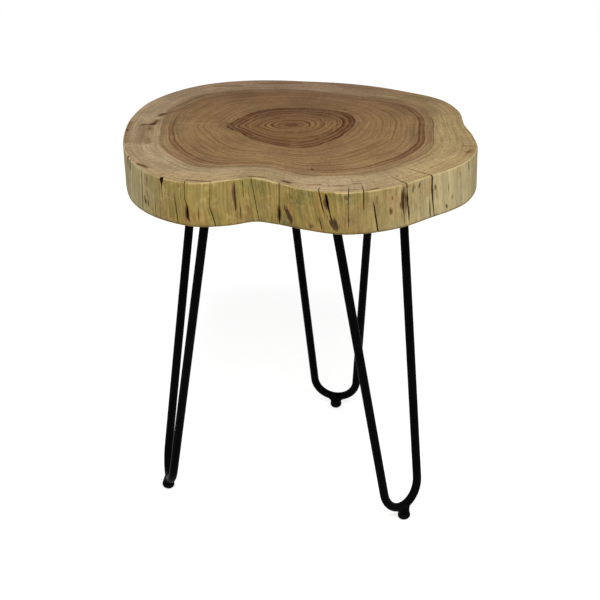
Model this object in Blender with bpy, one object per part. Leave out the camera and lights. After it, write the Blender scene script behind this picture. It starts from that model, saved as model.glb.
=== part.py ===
"""Live edge side table: one slice of a trunk on three hairpin legs bent from steel rod.

Metres, +Z up. The origin lies on the floor, under the middle of the slab's box. The slab's rim is
read at bearings, in degrees anticlockwise from +X as seen from above.
"""

import math
from collections import namedtuple

import bmesh
import bpy
from mathutils import Matrix, Vector

# Overall sizes
LEG_HEIGHT = 0.403  # floor to the underside of the slab
SLAB_THICKNESS = 0.047
SLAB_RADIUS = 0.200  # mean radius of the top outline
CLEARANCE = 0.0003  # gap between pieces that touch

# Top outline: (bearing, distance outside the mean radius), with a lobe or a hollow at each turn
SWELLS = (
    (6, -0.006),
    (20, 0.004),
    (33, 0.009),
    (48, 0.0005),
    (64, -0.0035),
    (85, -0.0045),
    (97, 0.0025),
    (110, 0.0125),
    (124, 0.019),
    (146, 0.014),
    (164, 0.004),
    (182, -0.001),
    (200, 0.003),
    (224, 0.011),
    (238, 0.0005),
    (247, -0.026),
    (254, -0.0375),
    (263, -0.027),
    (272, -0.010),
    (284, 0.007),
    (300, 0.009),
    (312, 0.006),
    (327, 0.0115),
    (341, 0.009),
    (353, 0.0),
)

# Live edge: (bearing, how far the underside's outline stands outside the top one)
FLARES = (
    (20, 0.0),
    (120, 0.0),
    (182, -0.001),
    (197, -0.0005),
    (207, 0.002),
    (228, 0.002),
    (239, 0.007),
    (247, 0.014),
    (255, 0.006),
    (264, -0.001),
    (272, -0.004),
    (285, -0.001),
    (300, 0.002),
    (327, 0.003),
    (343, 0.001),
)
RIM_POINTS = 144
TOP_ROUND = 0.002  # radius of the worn top arris
BOTTOM_ROUND = 0.0015  # radius of the lower arris
ROUND_STEPS = 3

# Drying checks in the live edge. A check that stops 0 short of a face runs out through it.
Check = namedtuple("Check", "bearing_top bearing_bottom short_of_top short_of_bottom width depth")
CHECKS = (
    Check(227.1, 227.3, 0.0, 0.024, 0.0026, 0.012),
    Check(234.8, 236.6, 0.0, 0.003, 0.0024, 0.010),
    Check(241.6, 243.4, 0.0, 0.0, 0.0016, 0.009),
    Check(252.4, 255.7, 0.0, 0.0, 0.0020, 0.011),
    Check(263.4, 263.4, 0.0, 0.0, 0.0020, 0.010),
    Check(278.0, 280.4, 0.002, 0.005, 0.0030, 0.009),
    Check(284.3, 284.5, 0.0, 0.002, 0.0014, 0.010),
    Check(288.6, 288.7, 0.0, 0.024, 0.0014, 0.009),
    Check(291.4, 293.0, 0.012, 0.0, 0.0026, 0.011),
    Check(301.6, 303.0, 0.0, 0.005, 0.0022, 0.030),
    Check(312.4, 313.5, 0.0, 0.0, 0.0026, 0.036),
)
CHECK_OVERCUT = 0.004  # how far a check's cutter stands outside the wood
CHECK_TIP = 0.3  # width and depth left where a check dies out, as a share of its middle

# Legs: bearing and inset of each mounting point under the rim, the way it faces, and its lean
Leg = namedtuple("Leg", "name bearing inset facing splay")
LEGS = (
    Leg("front_leg", -42.6, 0.0963, -47.0, 10.0),
    Leg("left_leg", 199.8, 0.0824, 191.0, 8.0),
    Leg("rear_leg", 68.3, 0.0987, 77.7, 8.0),
)

# Hairpin rod
ROD_DIAMETER = 0.010
ROD_SIDES = 16
STRAND_SPACING = 0.1112  # between the strands' axes at the underside of the slab
BEND_RADIUS = 0.02875  # to the rod's axis
BEND_STEPS = 16
ROD_SEAT = 0.001  # how far the strands enter the mounting plate

# Mounting plate, with weld beads round the strands
PLATE_THICKNESS = 0.004
PLATE_WIDTH = 0.044
PLATE_OVERHANG = 0.015  # from a strand's axis to the plate's end
PLATE_CORNER = 0.008
PLATE_CORNER_STEPS = 4
WELD_WIDTH = 0.0035
WELD_HEIGHT = 0.0045
WELD_LIP = 0.0008  # wall of the bead at its lower end

# Wood screws
SCREW_INSET = 0.025  # from a strand's axis to the nearest screws, along the plate
SCREW_EDGE = 0.009  # from the plate's long side to the screws
SCREW_DIAMETER = 0.0042
SCREW_LENGTH = 0.025
SCREW_POINT = 0.006
SCREW_HEAD_DIAMETER = 0.0082
SCREW_HEAD_HEIGHT = 0.0028
SCREW_HEAD_ROUND = 0.002
SCREW_SIDES = 12

# Foot: a stud welded under the bend, and a domed glide pushed over its stem
FOOT_LENGTH = 0.0124  # from the rod to the floor, along the leg
COLLAR_RISE = 0.0025  # how far the stud's collar climbs up the sides of the rod
COLLAR_WALL = 0.0008  # collar outside the rod at its top
COLLAR_LENGTH = 0.0045
COLLAR_DIAMETER = 0.0128
STEM_DIAMETER = 0.008
STEM_LENGTH = 0.0055
GLIDE_DIAMETER = 0.014
GLIDE_DOME = 0.0058  # height of the glide's rounded end
GLIDE_FLAT = 0.0006  # depth of the flat on which the dome stands
GLIDE_STEPS = 5
FOOT_SIDES = 20

MERGE = 1e-6
SMOOTH_ANGLE = math.radians(35)


def clear_scene():
    for piece in list(bpy.data.objects):
        bpy.data.objects.remove(piece, do_unlink=True)


def make_material(name, colour, roughness, metallic):
    material = bpy.data.materials.new(name)
    material.use_nodes = True
    shader = material.node_tree.nodes["Principled BSDF"]
    shader.inputs["Base Color"].default_value = (*colour, 1.0)
    shader.inputs["Roughness"].default_value = roughness
    shader.inputs["Metallic"].default_value = metallic
    return material


def add_piece(name, bm, material, parent=None):
    """Close the mesh data, shade its round faces smooth and link it as one named piece."""
    bmesh.ops.recalc_face_normals(bm, faces=bm.faces)
    mesh = bpy.data.meshes.new(name)
    bm.to_mesh(mesh)
    bm.free()
    mesh.shade_smooth()
    mesh.set_sharp_from_angle(angle=SMOOTH_ANGLE)
    if material:
        mesh.materials.append(material)
    piece = bpy.data.objects.new(name, mesh)
    piece.parent = parent
    bpy.context.scene.collection.objects.link(piece)
    return piece


def add_tool(name, bm, parent=None):
    """A shape that only cuts or joins other pieces."""
    tool = add_piece(name, bm, None, parent)
    tool.hide_render = True
    tool.display_type = "WIRE"
    return tool


def combine(piece, tool, operation):
    modifier = piece.modifiers.new(tool.name, "BOOLEAN")
    modifier.operation = operation
    modifier.object = tool
    modifier.solver = "EXACT"


def loft(bm, rings):
    """Skin rings of equal count, given upwards and anticlockwise, and cap both ends."""
    loops = [[bm.verts.new(point) for point in ring] for ring in rings]
    for lower, upper in zip(loops, loops[1:]):
        for i, corner in enumerate(lower):
            j = (i + 1) % len(lower)
            bm.faces.new((corner, lower[j], upper[j], upper[i]))
    bm.faces.new(reversed(loops[0]))
    bm.faces.new(loops[-1])


def turned(profile, sides):
    """Revolve (radius, height) pairs, which start and end on the axis, about Z."""
    bm = bmesh.new()
    points = [bm.verts.new((radius, 0, height)) for radius, height in profile]
    edges = [bm.edges.new(pair) for pair in zip(points, points[1:])]
    bmesh.ops.spin(
        bm,
        geom=points + edges,
        axis=(0, 0, 1),
        cent=(0, 0, 0),
        angle=math.tau,
        steps=sides,
        use_merge=True,
    )
    bmesh.ops.remove_doubles(bm, verts=bm.verts, dist=MERGE)
    return bm


def circle(centre, radius, sides):
    turns = [math.tau * i / sides for i in range(sides)]
    return [centre + Vector((radius * math.cos(a), radius * math.sin(a), 0)) for a in turns]


def trim(bm, point, normal):
    """Cut off what lies beyond a plane and close the cut."""
    everything = bm.verts[:] + bm.edges[:] + bm.faces[:]
    bmesh.ops.bisect_plane(bm, geom=everything, plane_co=point, plane_no=normal, clear_outer=True)
    open_edges = [edge for edge in bm.edges if edge.is_boundary]
    bmesh.ops.holes_fill(bm, edges=open_edges, sides=0)


def around(stations, bearing):
    """Read the smooth closed curve through (bearing, value) stations at one bearing."""
    count = len(stations)
    bearing = bearing % 360
    after = next((i for i, station in enumerate(stations) if station[0] > bearing), count)
    near = []
    for i in range(after - 2, after + 2):
        turns, place = divmod(i, count)
        near.append((stations[place][0] + 360 * turns, stations[place][1]))
    before, start, end, beyond = near
    span = end[0] - start[0]
    t = (bearing - start[0]) / span
    slope_start = span * (end[1] - before[1]) / (end[0] - before[0])
    slope_end = span * (beyond[1] - start[1]) / (beyond[0] - start[0])
    ease = t * t * (3 - 2 * t)
    level = (1 - ease) * start[1] + ease * end[1]
    return level + t * (1 - t) ** 2 * slope_start - t * t * (1 - t) * slope_end


def rim_radius(bearing, height):
    """Distance of the live edge from the rim's centre, at a height above the underside."""
    drop = 1 - min(max(height / SLAB_THICKNESS, 0), 1)
    return SLAB_RADIUS + around(SWELLS, bearing) + drop * around(FLARES, bearing)


def rim_point(bearing, height, outside=0.0, sideways=0.0):
    """A point by the live edge, in the slab's own frame with its underside at height 0."""
    turn = math.radians(bearing)
    out = Vector((math.cos(turn), math.sin(turn), 0))
    across = Vector((-math.sin(turn), math.cos(turn), 0))
    reach = rim_radius(bearing, height) + outside
    return out * reach + across * sideways + Vector((0, 0, height))


def slab_rings():
    """The slab's outline at each height, from the underside to the top face."""
    steps = [math.pi / 2 * i / ROUND_STEPS for i in range(ROUND_STEPS + 1)]
    lower = [(BOTTOM_ROUND * (1 - math.sin(a)), BOTTOM_ROUND * (1 - math.cos(a))) for a in steps]
    upper = [(TOP_ROUND * (1 - math.cos(a)), TOP_ROUND * math.sin(a)) for a in steps]
    profile = lower + [(inset, SLAB_THICKNESS - TOP_ROUND + rise) for inset, rise in upper]
    bearings = [360 * i / RIM_POINTS for i in range(RIM_POINTS)]
    return [[rim_point(b, height, -inset) for b in bearings] for inset, height in profile]


def box_middle(rings):
    """Middle of the slab's box, seen from above."""
    spread = [[point[axis] for ring in rings for point in ring] for axis in (0, 1)]
    return Vector([(min(values) + max(values)) / 2 for values in spread] + [0])


def check_section(check, height, bearing, share):
    """Triangle cut by a check at one height, with its point towards the heart of the wood."""
    half = share * check.width / 2 * (1 + CHECK_OVERCUT / (share * check.depth))
    return [
        rim_point(bearing, height, -share * check.depth),
        rim_point(bearing, height, CHECK_OVERCUT, -half),
        rim_point(bearing, height, CHECK_OVERCUT, half),
    ]


def check_rings(check):
    """A check's sections: lower end, middle and upper end."""
    through_bottom = check.short_of_bottom == 0
    through_top = check.short_of_top == 0
    low = -CHECK_OVERCUT if through_bottom else check.short_of_bottom
    high = SLAB_THICKNESS + CHECK_OVERCUT if through_top else SLAB_THICKNESS - check.short_of_top
    middle_bearing = (check.bearing_top + check.bearing_bottom) / 2
    return [
        check_section(check, low, check.bearing_bottom, 1 if through_bottom else CHECK_TIP),
        check_section(check, (low + high) / 2, middle_bearing, 1),
        check_section(check, high, check.bearing_top, 1 if through_top else CHECK_TIP),
    ]


def make_slab(material):
    rings = slab_rings()
    middle = box_middle(rings)
    bm = bmesh.new()
    loft(bm, [[point - middle for point in ring] for ring in rings])
    slab = add_piece("live_edge_slab", bm, material)
    slab.location.z = LEG_HEIGHT
    bm = bmesh.new()
    for check in CHECKS:
        loft(bm, [[point - middle for point in ring] for ring in check_rings(check)])
    checks = add_tool("drying_checks", bm)
    checks.location.z = LEG_HEIGHT
    combine(slab, checks, "DIFFERENCE")
    return slab


def make_leg_frame(leg):
    """Empty at the leg's mounting point on the underside, with +X the way the leg faces."""
    frame = bpy.data.objects.new(leg.name, None)
    reach = SLAB_RADIUS - leg.inset
    turn = math.radians(leg.bearing)
    frame.location = (reach * math.cos(turn), reach * math.sin(turn), LEG_HEIGHT)
    frame.rotation_euler.z = math.radians(leg.facing)
    bpy.context.scene.collection.objects.link(frame)
    return frame


def lean_piece(piece, leg):
    """Turn a piece that is modelled along the leg's axis to the leg's lean."""
    piece.rotation_euler.y = -math.radians(leg.splay)


def level_normal(leg):
    """Straight up, as seen from the leaning leg."""
    return Matrix.Rotation(math.radians(leg.splay), 3, "Y") @ Vector((0, 0, 1))


def floor_drop(leg):
    """Length of the leg's axis from the underside of the slab to the floor."""
    return LEG_HEIGHT / math.cos(math.radians(leg.splay))


def rod_bottom(leg):
    """Height of the rod's lowest line, along the leg's axis from the underside of the slab."""
    return FOOT_LENGTH - floor_drop(leg)


def bend_height(leg):
    return rod_bottom(leg) + ROD_DIAMETER / 2 + BEND_RADIUS


def tangent_turn(leg):
    """Turn from straight up at which a strand leaves the bend."""
    rise = -bend_height(leg)
    half = STRAND_SPACING / 2
    return math.atan2(half, rise) + math.acos(BEND_RADIUS / math.hypot(half, rise))


def hairpin_path(leg):
    """Axis of the rod in the leg's plane: down one strand, round the bend and up the other."""
    start = tangent_turn(leg)
    sweep = math.tau - 2 * start
    turns = [start + sweep * i / BEND_STEPS for i in range(BEND_STEPS + 1)]
    centre = Vector((0, 0, bend_height(leg)))
    bend = [centre + BEND_RADIUS * Vector((0, math.sin(a), math.cos(a))) for a in turns]
    top = Vector((0, STRAND_SPACING / 2, 0))
    return [top] + bend + [-top]


def seat_height():
    """Height at which the strands' sockets end inside the plate."""
    return -CLEARANCE - PLATE_THICKNESS + ROD_SEAT


def bent_rod(leg, radius, end_height):
    """Round rod along the hairpin, with both ends cut level at a height below the slab."""
    curve = bpy.data.curves.new(leg.name, "CURVE")
    curve.dimensions = "3D"
    curve.bevel_depth = radius
    curve.bevel_resolution = ROD_SIDES // 2 - 2
    curve.use_fill_caps = True
    path = hairpin_path(leg)
    spline = curve.splines.new("POLY")
    spline.points.add(len(path) - 1)
    for point, place in zip(spline.points, path):
        point.co = (*place, 1)
    holder = bpy.data.objects.new(curve.name, curve)
    bpy.context.scene.collection.objects.link(holder)
    graph = bpy.context.evaluated_depsgraph_get()
    mesh = bpy.data.meshes.new_from_object(holder.evaluated_get(graph))
    bpy.data.objects.remove(holder)
    bm = bmesh.new()
    bm.from_mesh(mesh)
    bmesh.ops.remove_doubles(bm, verts=bm.verts, dist=MERGE)
    level = level_normal(leg)
    trim(bm, level * end_height, level)
    return bm


def make_rod(leg, frame, material):
    bm = bent_rod(leg, ROD_DIAMETER / 2, seat_height() - CLEARANCE)
    rod = add_piece(leg.name + "_rod", bm, material, frame)
    lean_piece(rod, leg)


def make_rod_space(leg, frame):
    """The hairpin grown by the clearance, which forms the sockets and the foot's saddle."""
    bm = bent_rod(leg, ROD_DIAMETER / 2 + CLEARANCE, seat_height())
    space = add_tool(leg.name + "_rod_space", bm, frame)
    lean_piece(space, leg)
    return space


def strand_centre(leg, side, height):
    """Where a strand's axis crosses a level below the slab, in the leg's upright frame."""
    path = hairpin_path(leg)
    lean = Matrix.Rotation(-math.radians(leg.splay), 3, "Y")
    top = lean @ path[0]
    bottom = lean @ path[1]
    point = top.lerp(bottom, (height - top.z) / (bottom.z - top.z))
    return Vector((point.x, side * point.y, height))


def make_weld_beads(leg, frame):
    """Fillets of weld round the two strands, rooted in the plate."""
    face = -CLEARANCE - PLATE_THICKNESS
    rod = ROD_DIAMETER / 2
    profile = (
        (face - WELD_HEIGHT, rod + WELD_LIP),
        (face - WELD_HEIGHT / 3, rod + WELD_LIP + WELD_WIDTH / 4),
        (face + PLATE_THICKNESS / 2, rod + WELD_LIP + WELD_WIDTH),
    )
    bm = bmesh.new()
    for side in (-1, 1):
        loft(bm, [circle(strand_centre(leg, side, z), radius, ROD_SIDES) for z, radius in profile])
    return add_tool(leg.name + "_weld_beads", bm, frame)


def screw_places():
    """Screws in the plate, in the leg's upright frame at its lower face."""
    x = PLATE_WIDTH / 2 - SCREW_EDGE
    y = STRAND_SPACING / 2 - SCREW_INSET
    z = -2 * CLEARANCE - PLATE_THICKNESS
    return [Vector((x * i, y * j, z)) for i, j in ((1, 1), (-1, 1), (-1, -1), (1, -1))]


def make_screw_holes(leg, frame):
    """Holes through the plate and up into the wood for the leg's screws."""
    radius = SCREW_DIAMETER / 2 + CLEARANCE
    length = SCREW_LENGTH + CLEARANCE
    bm = bmesh.new()
    for place in screw_places():
        ends = (place, place + Vector((0, 0, length)))
        loft(bm, [circle(end, radius, SCREW_SIDES) for end in ends])
    return add_tool(leg.name + "_screw_holes", bm, frame)


def make_plate(leg, frame, material):
    size = (PLATE_WIDTH, STRAND_SPACING + 2 * PLATE_OVERHANG, PLATE_THICKNESS)
    place = Matrix.Translation((0, 0, -CLEARANCE - PLATE_THICKNESS / 2))
    bm = bmesh.new()
    bmesh.ops.create_cube(bm, size=1, matrix=place @ Matrix.Diagonal((*size, 1)))
    corners = [edge for edge in bm.edges if edge.verts[0].co.xy == edge.verts[1].co.xy]
    bmesh.ops.bevel(
        bm,
        geom=corners,
        offset=PLATE_CORNER,
        segments=PLATE_CORNER_STEPS,
        profile=0.5,
        affect="EDGES",
    )
    return add_piece(leg.name + "_plate", bm, material, frame)


def screw_profile():
    """Pan head below height 0, and the shank with its point above."""
    head = SCREW_HEAD_DIAMETER / 2
    shank = SCREW_DIAMETER / 2
    bend = SCREW_HEAD_ROUND
    flat = head - bend
    rim = bend - SCREW_HEAD_HEIGHT
    steps = [math.pi / 2 * i / ROUND_STEPS for i in range(ROUND_STEPS + 1)]
    crown = [(flat + bend * math.sin(a), rim - bend * math.cos(a)) for a in steps]
    stem = [(head, 0), (shank, 0), (shank, SCREW_LENGTH - SCREW_POINT), (0, SCREW_LENGTH)]
    return [(0, -SCREW_HEAD_HEIGHT)] + crown + stem


def make_screws(leg, frame, material):
    first = add_piece(leg.name + "_screw_1", turned(screw_profile(), SCREW_SIDES), material, frame)
    places = screw_places()
    first.location = places[0]
    for number, place in enumerate(places[1:], start=2):
        screw = bpy.data.objects.new(f"{leg.name}_screw_{number}", first.data)
        screw.parent = frame
        screw.location = place
        bpy.context.scene.collection.objects.link(screw)


def make_foot_stud(leg, frame, material):
    """Collar welded round the underside of the bend, with the stem that carries the glide."""
    rod = rod_bottom(leg)
    top = rod + COLLAR_RISE
    shoulder = rod - COLLAR_LENGTH
    profile = [
        (0, top),
        (ROD_DIAMETER / 2 + COLLAR_WALL, top),
        (COLLAR_DIAMETER / 2, shoulder),
        (STEM_DIAMETER / 2, shoulder),
        (STEM_DIAMETER / 2, shoulder - STEM_LENGTH),
        (0, shoulder - STEM_LENGTH),
    ]
    stud = add_piece(leg.name + "_foot_stud", turned(profile, FOOT_SIDES), material, frame)
    lean_piece(stud, leg)
    return stud


def make_glide(leg, frame, material):
    """Domed glide with a blind bore for the stem, standing on a small flat."""
    mouth = rod_bottom(leg) - COLLAR_LENGTH - CLEARANCE
    bore = STEM_DIAMETER / 2 + CLEARANCE
    bore_end = mouth - STEM_LENGTH
    radius = GLIDE_DIAMETER / 2
    tip = -floor_drop(leg) - GLIDE_FLAT
    steps = [math.pi / 2 * i / GLIDE_STEPS for i in range(GLIDE_STEPS)]
    dome = [(radius * math.cos(a), tip + GLIDE_DOME * (1 - math.sin(a))) for a in steps]
    socket = [(0, bore_end), (bore, bore_end), (bore, mouth), (COLLAR_DIAMETER / 2, mouth)]
    bm = turned(socket + dome + [(0, tip)], FOOT_SIDES)
    level = level_normal(leg)
    trim(bm, level * -LEG_HEIGHT, -level)
    glide = add_piece(leg.name + "_glide", bm, material, frame)
    lean_piece(glide, leg)


def make_leg(leg, slab, steel, rubber, zinc):
    """One leg: plate, bent rod, foot and screws, with the holes that they need in the slab."""
    frame = make_leg_frame(leg)
    rod_space = make_rod_space(leg, frame)
    screw_holes = make_screw_holes(leg, frame)
    make_rod(leg, frame, steel)
    plate = make_plate(leg, frame, steel)
    combine(plate, make_weld_beads(leg, frame), "UNION")
    combine(plate, rod_space, "DIFFERENCE")
    combine(plate, screw_holes, "DIFFERENCE")
    combine(make_foot_stud(leg, frame, steel), rod_space, "DIFFERENCE")
    make_glide(leg, frame, rubber)
    make_screws(leg, frame, zinc)
    combine(slab, screw_holes, "DIFFERENCE")


def build():
    clear_scene()
    wood = make_material("slab_wood", (0.30, 0.17, 0.075), 0.55, 0.0)
    steel = make_material("black_steel", (0.012, 0.012, 0.013), 0.42, 0.0)
    rubber = make_material("black_rubber", (0.010, 0.010, 0.010), 0.65, 0.0)
    zinc = make_material("screw_zinc", (0.55, 0.54, 0.50), 0.35, 1.0)
    slab = make_slab(wood)
    for leg in LEGS:
        make_leg(leg, slab, steel, rubber, zinc)


build()
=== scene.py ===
"""Looks of the live edge side table: the slab, its hairpin legs and their fixings, on a pale floor.

Metres, +Z up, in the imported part's frame. Bearings are in degrees anticlockwise from +X, as seen
from above.
"""

import math
from collections import namedtuple

import bmesh
import bpy
import numpy as np
from mathutils import Matrix, Vector, noise


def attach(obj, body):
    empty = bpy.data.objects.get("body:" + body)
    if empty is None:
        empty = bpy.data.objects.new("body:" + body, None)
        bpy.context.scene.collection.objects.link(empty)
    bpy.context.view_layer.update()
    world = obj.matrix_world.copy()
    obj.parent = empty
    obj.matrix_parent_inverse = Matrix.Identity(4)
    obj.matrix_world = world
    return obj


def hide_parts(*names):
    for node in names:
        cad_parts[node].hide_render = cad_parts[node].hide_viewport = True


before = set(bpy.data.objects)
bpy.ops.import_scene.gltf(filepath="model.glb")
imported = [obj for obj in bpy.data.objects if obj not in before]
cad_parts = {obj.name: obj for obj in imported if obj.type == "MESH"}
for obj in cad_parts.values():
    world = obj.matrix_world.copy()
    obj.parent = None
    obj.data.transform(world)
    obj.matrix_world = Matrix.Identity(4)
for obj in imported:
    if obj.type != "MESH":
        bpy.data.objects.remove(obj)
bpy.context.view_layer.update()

MM = 0.001
BLACK = (0, 0, 0, 1)
WHITE = (1, 1, 1, 1)

# Slab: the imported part's sizes, with the swell of its rim at the top and the flare from there to
# the underside by bearing
LEG_HEIGHT = 0.403
SLAB_THICKNESS = 0.047
SLAB_RADIUS = 0.200
TOP_ROUND = 0.002
BOTTOM_ROUND = 0.0015
SWELLS = ((6, -0.006), (20, 0.004), (33, 0.009), (48, 0.0005), (64, -0.0035), (85, -0.0045),
          (97, 0.0025), (110, 0.0125), (124, 0.019), (146, 0.014), (164, 0.004), (182, -0.001),
          (200, 0.003), (224, 0.011), (238, 0.0005), (247, -0.026), (254, -0.0375), (263, -0.027),
          (272, -0.010), (284, 0.007), (300, 0.009), (312, 0.006), (327, 0.0115), (341, 0.009),
          (353, 0.0))
FLARES = ((20, 0.0), (120, 0.0), (182, -0.001), (197, -0.0005), (207, 0.002), (228, 0.002),
          (239, 0.007), (247, 0.014), (255, 0.006), (264, -0.001), (272, -0.004), (285, -0.001),
          (300, 0.002), (327, 0.003), (343, 0.001))

# Growth: the middle of the rings, and contours about it as (bearing, distance), with the share of
# growth at each. Inside the eye the rings move over to the pith, which lies off that middle.
RINGS_MIDDLE = (0.0034, 0.0212)
PITH_SHIFT = (-0.0110, -0.0040)
CORE = ((0, 0.0255), (45, 0.0255), (90, 0.0233), (135, 0.0285), (180, 0.0357), (225, 0.0265),
        (270, 0.0175), (315, 0.0205))
EYE = ((8, 0.0635), (24, 0.0655), (40, 0.0655), (64, 0.0615), (80, 0.061), (112, 0.065),
       (135, 0.069), (155, 0.073), (173, 0.080), (183, 0.0855), (190, 0.082), (200, 0.0755),
       (219, 0.0735), (240, 0.0765), (258, 0.080), (269, 0.083), (278, 0.081), (290, 0.0725),
       (308, 0.0635), (327, 0.059), (349, 0.0595))
HEART = ((7, 0.1545), (24, 0.1545), (35, 0.149), (47, 0.137), (57, 0.129), (69, 0.1262),
         (90, 0.134), (112, 0.1485), (125, 0.158), (136, 0.1675), (152, 0.1655), (165, 0.1655),
         (178, 0.162), (190, 0.163), (204, 0.170), (218, 0.176), (231, 0.1805), (238, 0.172),
         (244, 0.159), (254, 0.149), (264, 0.158), (272, 0.170), (284, 0.1765), (294, 0.180),
         (306, 0.1755), (320, 0.170), (332, 0.165), (344, 0.157), (355, 0.1535))
EYE_GROWTH = 0.35
GROWTH_KNOTS = (0, 0.15, EYE_GROWTH, 0.78, 1)  # at the middle, core, eye, heartwood's edge and rim
HEART_LIMIT = 0.96  # of the way to the rim

# Mesh of the slab
FINE_COLUMN = 0.0016  # between columns on the side that the photograph shows
COARSE_COLUMN = 0.003
FINE_SIDE = (172, 360)
CRACK_OFFSETS = (-1.0, -0.5, 0.0, 0.5, 1.0)  # columns across a crack, in half widths
NO_CRACK = 9.0  # offset of a column that follows no crack
ORDER_STEP = 0.01  # degrees per offset that keep a crack's columns in order
CRACK_MARGIN = 0.0009
CRACK_TAPER = 6.0  # length of a crack's end on the underside, in depths at the arris
FULL_DARK = 0.006  # depth at which the painted shade inside a crack is at its darkest
ROWS_TOP = (5, 13, 24, 24)  # in the core, the eye, the rest of the heartwood, and the sapwood
ROWS_UNDER = (3, 3, 3, 7)
ROWS_WALL = 32
ROWS_ROUND = 5
SHADED_FIELDS = ("growth", "wall", "crack", "stain", "eye_ink", "edge_ink", "pale")
MIDDLE_ALONG = (-200.0, 250.0)  # mm along the cracks, at the middle of the top and the underside
WALL_INSET = 0.0001
WALL_RELIEF = 0.0006
RELIEF_WAVES = ((90, 9, 0, 0.3), (38, 30, 7, 0.35))  # scale round the wall, up it, start, share
SLAB_SHARP = 50.0  # degrees between faces from which an edge is sharp
TURN_LENGTH = 13.0  # mm to each side of the arris over which a crack's cut turns

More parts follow.
